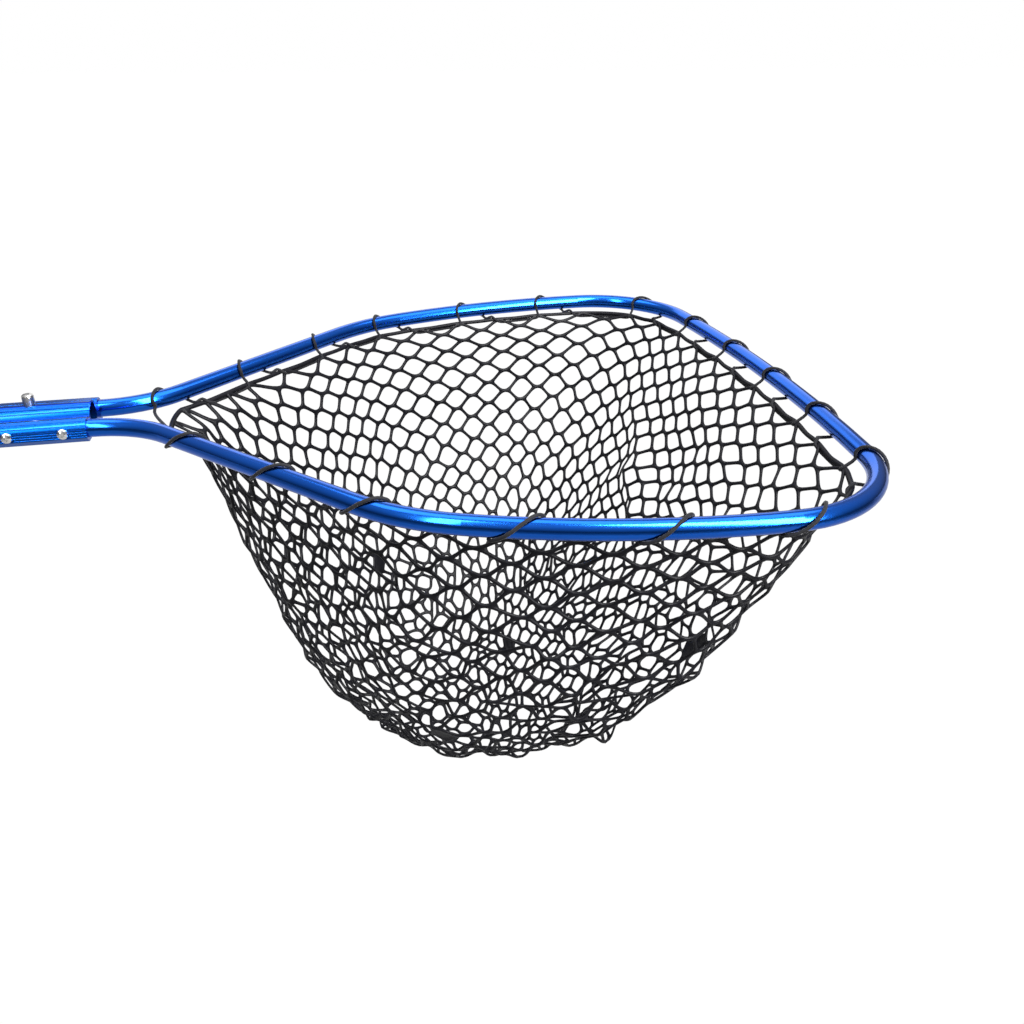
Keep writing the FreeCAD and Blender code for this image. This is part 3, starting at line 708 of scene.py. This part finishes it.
def band_at(s):
    """Length along the band beside arc length s of the hoop."""
    return float(np.interp(s, BAND_HOOP_AT, BAND_ALONG[:len(BAND_HOOP_AT)]))


def cord_route():
    """Turning points of the one cord that winds along the rim, ending in the throat."""
    hug = TUBE_RADIUS + CORD_RADIUS + TUBE_CLEARANCE
    reach = BAND_HALF_THICK + CORD_RADIUS + BAND_CLEARANCE
    below = np.array([0, 0, -BAND_HALF_WIDTH - CORD_RADIUS])
    route = [band([band_at(96)])[0] + below]
    for index in list(range(1, WRAPS)) + [0]:
        top = wrap_at(index)
        if index:
            lift = band([band_at(LIFTS[index]) - 4, band_at(LIFTS[index])])
            _, inward = hoop(LIFTS[index])
            side = np.array([inward.real, inward.imag, 0])
            route += [lift[0] + below * 0.9 + side * 0.8,
                      lift[1] + side * reach * 0.9 - (0, 0, 1.0)]
        route += [beside_tube(top + on, angle, hug) for angle, on in WRAP_TURN]
        tab = band_at(min(top + TAB_BEHIND, BAND_END - 2))
        here = band([tab - 6, tab, tab + 4, tab + 12])
        _, inward = hoop(top + TAB_BEHIND)
        side = np.array([inward.real, inward.imag, 0])
        route += [here[0] - side * reach * 0.9 + (0, 0, 1.5), here[1] - side * reach * 0.2 - below,
                  here[2] + side * reach * 0.9, here[3] + below + side * 0.8]
        if index == WRAPS - 1:
            route[-1] = here[2] + (-1.5, 9.0, 3.5)
            route.append(beside_tube(wrap_at(0) - 8, -30, hug + 4))
        elif index:
            following = band_at(LIFTS[index + 1])
            for share in (0.4, 0.7):
                route.append(band([tab + (following - tab) * share])[0] + below)
    return route


def through(points, step):
    """A smooth run of evenly spaced points through the given ones (centripetal spline)."""
    points = np.array(points)
    padded = np.vstack([2 * points[0] - points[1], points, 2 * points[-1] - points[-2]])
    fine = []
    for a, b, c, d in zip(padded, padded[1:], padded[2:], padded[3:]):
        gaps = [max(np.linalg.norm(q - p), 1e-6) ** 0.5 for p, q in ((a, b), (b, c), (c, d))]
        way_b = (b - a) / gaps[0] - (c - a) / (gaps[0] + gaps[1]) + (c - b) / gaps[1]
        way_c = (c - b) / gaps[1] - (d - b) / (gaps[1] + gaps[2]) + (d - c) / gaps[2]
        ways = way_b[None] * gaps[1], way_c[None] * gaps[1]
        piece = hermite(b[None], c[None], *ways, SPLINE_STEPS)[0]
        fine.append(piece[:-1])
    fine = np.vstack(fine + [points[-1:]])
    along = np.concatenate([[0], np.cumsum(np.linalg.norm(np.diff(fine, axis=0), axis=1))])
    at = np.linspace(0, along[-1], max(4, round(along[-1] / step)))
    return np.column_stack([np.interp(at, along, fine[:, k]) for k in range(3)])


def rope(points):
    """Vertices and faces of the twisted cord along a run of points, closed at both ends."""
    sides = CORD_SIDES
    along = unit(np.gradient(points, axis=0))
    across = [unit(np.cross(along[0], (0, 0, 1)) + 1e-6)]
    for way in along[1:]:
        across.append(unit(across[-1] - way * across[-1].dot(way)))
    across = np.array(across)
    beside = np.cross(along, across)
    at = np.concatenate([[0], np.cumsum(np.linalg.norm(np.diff(points, axis=0), axis=1))])
    angle = np.linspace(0, 2 * np.pi, sides, endpoint=False)[None]
    lobes = np.abs(np.cos(CORD_STRANDS / 2 * (angle - 2 * np.pi * at[:, None] / CORD_LAY)))
    size = CORD_RADIUS * (GROOVE + RISE * lobes)
    ring = across[:, None] * (np.cos(angle) * size)[..., None]
    ring = ring + beside[:, None] * (np.sin(angle) * size)[..., None] + points[:, None]
    rows = np.arange(len(points) - 1)[:, None] * sides
    col, after = np.arange(sides)[None], np.roll(np.arange(sides), -1)[None]
    quads = np.stack([rows + col, rows + after, rows + sides + after, rows + sides + col], -1)
    faces = [tuple(int(v) for v in quad) for quad in quads.reshape(-1, 4)]
    faces.append(tuple(range(sides))[::-1])
    faces.append(tuple(range((len(points) - 1) * sides, len(points) * sides)))
    return ring.reshape(-1, 3), faces


# ------------------------------------------------------------------ materials

COAT_WEIGHT, COAT_ROUGHNESS = 0.12, 0.06
GLOSS_SPREAD = 0.04


def material(name):
    """A new node material: itself, its nodes, its links and its shader."""
    made = bpy.data.materials.new(name)
    made.use_nodes = True
    nodes, links = made.node_tree.nodes, made.node_tree.links
    return made, nodes, links, nodes["Principled BSDF"]


def add(nodes, kind, **values):
    """A new shader node; the values are for its sockets of those names, or its own settings."""
    node = nodes.new("ShaderNode" + kind)
    for key, value in values.items():
        if key in node.inputs:
            node.inputs[key].default_value = value
        else:
            setattr(node, key, value)
    return node


def noise(nodes, links, coords, scale, detail=4, stretch=(1, 1, 1)):
    """A noise texture in object space, stretched along the axes."""
    mapping = add(nodes, "Mapping", Scale=stretch)
    links.new(coords, mapping.inputs["Vector"])
    texture = add(nodes, "TexNoise", Scale=scale, Detail=detail)
    links.new(mapping.outputs["Vector"], texture.inputs["Vector"])
    return texture.outputs["Fac"]


def ramp(nodes, links, source, stops):
    """A colour or value ramp; stops are (position, value or colour)."""
    node = add(nodes, "ValToRGB")
    while len(node.color_ramp.elements) < len(stops):
        node.color_ramp.elements.new(0.5)
    for element, (place, value) in zip(node.color_ramp.elements, stops):
        colour = value if isinstance(value, tuple) else (value,) * 3
        element.position = place
        element.color = (*colour, 1)
    links.new(source, node.inputs["Fac"])
    return node.outputs["Color"]


def bump(nodes, links, shader, height, distance, strength):
    """Fine relief; the distance is in metres."""
    node = add(nodes, "Bump", Strength=strength, Distance=distance)
    links.new(height, node.inputs["Height"])
    links.new(node.outputs["Normal"], shader.inputs["Normal"])


def object_space(nodes):
    return add(nodes, "TexCoord").outputs["Object"]


def anodised(name, deep, bright, roughness):
    """Dyed oxide over aluminium: thinly coated metal, a little uneven in hue and gloss."""
    made, nodes, links, shader = material(name)
    coords = object_space(nodes)
    cloud = noise(nodes, links, coords, 9, 3)
    haze = noise(nodes, links, coords, 14, 2)
    links.new(ramp(nodes, links, cloud, [(0.3, deep), (0.75, bright)]), shader.inputs["Base Color"])
    mixed = add(nodes, "Math", operation="MULTIPLY_ADD")
    links.new(haze, mixed.inputs[0])
    mixed.inputs[1].default_value = GLOSS_SPREAD
    mixed.inputs[2].default_value = roughness
    links.new(mixed.outputs[0], shader.inputs["Roughness"])
    shader.inputs["Metallic"].default_value = 1.0
    shader.inputs["Coat Weight"].default_value = COAT_WEIGHT
    shader.inputs["Coat Roughness"].default_value = COAT_ROUGHNESS
    return made


def bright_steel(name, tint, roughness, grain):
    """Bare metal with smears and a brushed grain; grain is its stretch along the axes."""
    made, nodes, links, shader = material(name)
    coords = object_space(nodes)
    brushed = noise(nodes, links, coords, 300, 3, grain)
    smear = noise(nodes, links, coords, 40, 4)
    darker = tuple(channel * 0.86 for channel in tint)
    links.new(ramp(nodes, links, smear, [(0.35, darker), (0.7, tint)]), shader.inputs["Base Color"])
    links.new(ramp(nodes, links, brushed, [(0.3, roughness), (0.7, roughness + 0.14)]),
              shader.inputs["Roughness"])
    shader.inputs["Metallic"].default_value = 1.0
    bump(nodes, links, shader, brushed, 0.00003, 0.4)
    return made


def soft_black(name, dark, light, roughness, pores, depth, sheen=0.0):
    """Rubber, foam, plastic or cord: near-black with mottling in colour and gloss, and pores."""
    made, nodes, links, shader = material(name)
    coords = object_space(nodes)
    mottle = noise(nodes, links, coords, 35, 5)
    grain = noise(nodes, links, coords, pores, 4)
    links.new(ramp(nodes, links, mottle, [(0.3, dark), (0.75, light)]), shader.inputs["Base Color"])
    links.new(ramp(nodes, links, mottle, [(0.25, roughness), (0.8, min(1, roughness + 0.16))]),
              shader.inputs["Roughness"])
    shader.inputs["Specular IOR Level"].default_value = 0.12
    shader.inputs["Sheen Weight"].default_value = sheen
    shader.inputs["Sheen Roughness"].default_value = 0.4
    bump(nodes, links, shader, grain, depth, 0.5)
    return made


BLUE_TUBE = anodised("blue_anodised_tube", (0.007, 0.105, 0.56), (0.010, 0.135, 0.68), 0.16)
BLUE_YOKE = anodised("blue_anodised_extrusion", (0.002, 0.08, 0.38), (0.003, 0.105, 0.5), 0.24)
CHROME = bright_steel("bright_screw", (0.97, 0.97, 0.96), 0.04, (1, 1, 1))
BUTTON_STEEL = bright_steel("brushed_button", (0.6, 0.59, 0.57), 0.2, (30, 30, 1))
SPRING_STEEL = bright_steel("dull_spring", (0.42, 0.42, 0.44), 0.34, (1, 20, 20))
PLASTIC = soft_black("moulded_plastic", (0.012, 0.012, 0.013), (0.026, 0.026, 0.028),
                     0.42, 1500, 0.00008)
FOAM = soft_black("grip_foam", (0.012, 0.012, 0.014), (0.03, 0.03, 0.034), 0.75, 800, 0.0004, 0.3)
RUBBER = soft_black("net_rubber", (0.002, 0.002, 0.003), (0.006, 0.006, 0.008), 0.36, 900, 0.00006)
CORD = soft_black("lacing_cord", (0.005, 0.005, 0.006), (0.012, 0.012, 0.014),
                  0.6, 2200, 0.00025, 0.1)

NODE_LOOKS = {
    "hoop_tube": BLUE_TUBE, "handle_tube": BLUE_TUBE, "yoke": BLUE_YOKE,
    "hoop_screw_left_front": CHROME, "hoop_screw_left_rear": CHROME,
    "hoop_screw_right_front": CHROME, "hoop_screw_right_rear": CHROME,
    "snap_button": BUTTON_STEEL, "button_spring": SPRING_STEEL,
    "handle_front_plug": PLASTIC, "butt_cap": PLASTIC, "handle_grip": FOAM,
}
for node_name, look in NODE_LOOKS.items():
    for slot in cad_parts[node_name].material_slots:
        slot.material = look

# ------------------------------------------------------------------ soft pieces

WELD = 2e-5

net = Net()
net_points, net_faces = np.vstack(net.vertices), np.vstack(net.quads)
net_mesh = make_mesh("net_mesh", net_points * MM, net_faces, RUBBER, WELD)
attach(net_mesh, "head")
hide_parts("net_bag")

cord_points, cord_faces = rope(through(cord_route(), CORD_STEP))
cord = make_mesh("lacing_spiral", cord_points * MM, cord_faces, CORD)
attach(cord, "head")
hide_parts("lacing_cord")

# ------------------------------------------------------------------ floor, light and camera

# The floor is plain white to the camera, and see-through from below. In reflections it is pale
# behind the net and dark in front of it, to match the streaks on the tube.
FLOOR_HEIGHT = -0.62
FLOOR_REACH = 30
GLOW_FROM_Y, GLOW_TO_Y = -0.4, 1.4
GLOW_LOW, GLOW_HIGH = 0.02, 0.5
WHITE = (1, 1, 1, 1)

floor_mesh = bpy.data.meshes.new("floor")
corners = [(x * FLOOR_REACH, y * FLOOR_REACH, 0) for x, y in ((-1, -1), (1, -1), (1, 1), (-1, 1))]
floor_mesh.from_pydata(corners, [], [(0, 1, 2, 3)])
floor = bpy.data.objects.new("floor", floor_mesh)
floor.location.z = FLOOR_HEIGHT
bpy.context.scene.collection.objects.link(floor)
paper, paper_nodes, paper_links, paper_shader = material("pale_paper")
paper_shader.inputs["Base Color"].default_value = (0.16, 0.16, 0.16, 1)
paper_shader.inputs["Roughness"].default_value = 0.9
paper_shader.inputs["Emission Color"].default_value = WHITE
spread = add(paper_nodes, "SeparateXYZ")
paper_links.new(add(paper_nodes, "NewGeometry").outputs["Position"], spread.inputs["Vector"])
glow = add(paper_nodes, "MapRange")
for key, value in (("From Min", GLOW_FROM_Y), ("From Max", GLOW_TO_Y),
                   ("To Min", GLOW_LOW), ("To Max", GLOW_HIGH)):
    glow.inputs[key].default_value = value
paper_links.new(spread.outputs["Y"], glow.inputs["Value"])
paper_links.new(glow.outputs["Result"], paper_shader.inputs["Emission Strength"])
white = add(paper_nodes, "Emission", Color=WHITE, Strength=1.02)
pick = add(paper_nodes, "MixShader")
paper_links.new(add(paper_nodes, "LightPath").outputs["Is Camera Ray"], pick.inputs["Fac"])
paper_links.new(paper_shader.outputs["BSDF"], pick.inputs[1])
paper_links.new(white.outputs["Emission"], pick.inputs[2])
below = add(paper_nodes, "MixShader")
paper_links.new(add(paper_nodes, "NewGeometry").outputs["Backfacing"], below.inputs["Fac"])
paper_links.new(pick.outputs["Shader"], below.inputs[1])
paper_links.new(add(paper_nodes, "BsdfTransparent").outputs["BSDF"], below.inputs[2])
paper_links.new(below.outputs["Shader"], paper_nodes["Material Output"].inputs["Surface"])
floor_mesh.materials.append(paper)


def soft_light(name, place, aim, width, height, watts):
    """A rectangular area light at a place, facing a point; its sides are in metres."""
    data = bpy.data.lights.new(name, "AREA")
    data.shape, data.size, data.size_y, data.energy = "RECTANGLE", width, height, watts
    item = bpy.data.objects.new(name, data)
    item.location = place
    item.rotation_euler = (Vector(aim) - Vector(place)).to_track_quat("-Z", "Y").to_euler()
    bpy.context.scene.collection.objects.link(item)


MIDDLE = (0.32, 0.0, -0.1)
soft_light("key", (1.15, -1.35, 1.2), (0.45, -0.3, 0.0), 0.5, 2.4, 150)
soft_light("key_left", (-0.7, -1.2, 1.4), (0.05, -0.1, 0.0), 0.4, 1.8, 32)
soft_light("top", (0.4, 0.35, 2.0), MIDDLE, 2.8, 1.3, 30)
soft_light("rear", (0.6, 2.2, 0.9), MIDDLE, 2.6, 1.2, 12)

# the room is grey below and pale above in reflections, and plain white to the camera
world = bpy.data.worlds.new("studio")
bpy.context.scene.world = world
world.use_nodes = True
sky_nodes, sky_links = world.node_tree.nodes, world.node_tree.links
backdrop = sky_nodes["Background"]
height = add(sky_nodes, "SeparateXYZ")
sky_links.new(add(sky_nodes, "TexCoord").outputs["Generated"], height.inputs["Vector"])
room = ramp(sky_nodes, sky_links, height.outputs["Z"],
            [(0.0, (0.04, 0.04, 0.045)), (0.2, (0.2, 0.205, 0.215)), (0.75, (0.6, 0.61, 0.64))])
shade = add(sky_nodes, "Mix", data_type="RGBA")
shade.inputs["B"].default_value = WHITE
sky_links.new(room, shade.inputs["A"])
sky_links.new(add(sky_nodes, "LightPath").outputs["Is Camera Ray"], shade.inputs["Factor"])
sky_links.new(shade.outputs["Result"], backdrop.inputs["Color"])
bpy.context.scene.view_settings.view_transform = "Standard"

# the camera stands in front of the net's right side and looks down into its mouth
CAMERA_AZIMUTH = math.radians(-11.48)
CAMERA_ELEVATION = math.radians(28.06)
CAMERA_ROLL = math.radians(0.06)
CAMERA_DISTANCE = 0.6363
CAMERA_TARGET = Vector((0.3307, -0.2490, 0.0))
camera_data = bpy.data.cameras.new("camera")
camera_data.sensor_width = 36.0
camera_data.lens = 31.19
camera_data.clip_start = 0.01
camera = bpy.data.objects.new("camera", camera_data)
back = Vector((math.sin(CAMERA_AZIMUTH) * math.cos(CAMERA_ELEVATION),
               -math.cos(CAMERA_AZIMUTH) * math.cos(CAMERA_ELEVATION), math.sin(CAMERA_ELEVATION)))
camera.location = CAMERA_TARGET + back * CAMERA_DISTANCE
turn = (-back).to_track_quat("-Z", "Y").to_matrix().to_4x4()
camera.rotation_euler = (turn @ Matrix.Rotation(CAMERA_ROLL, 4, "Z")).to_euler()
bpy.context.scene.collection.objects.link(camera)
bpy.context.scene.camera = camera
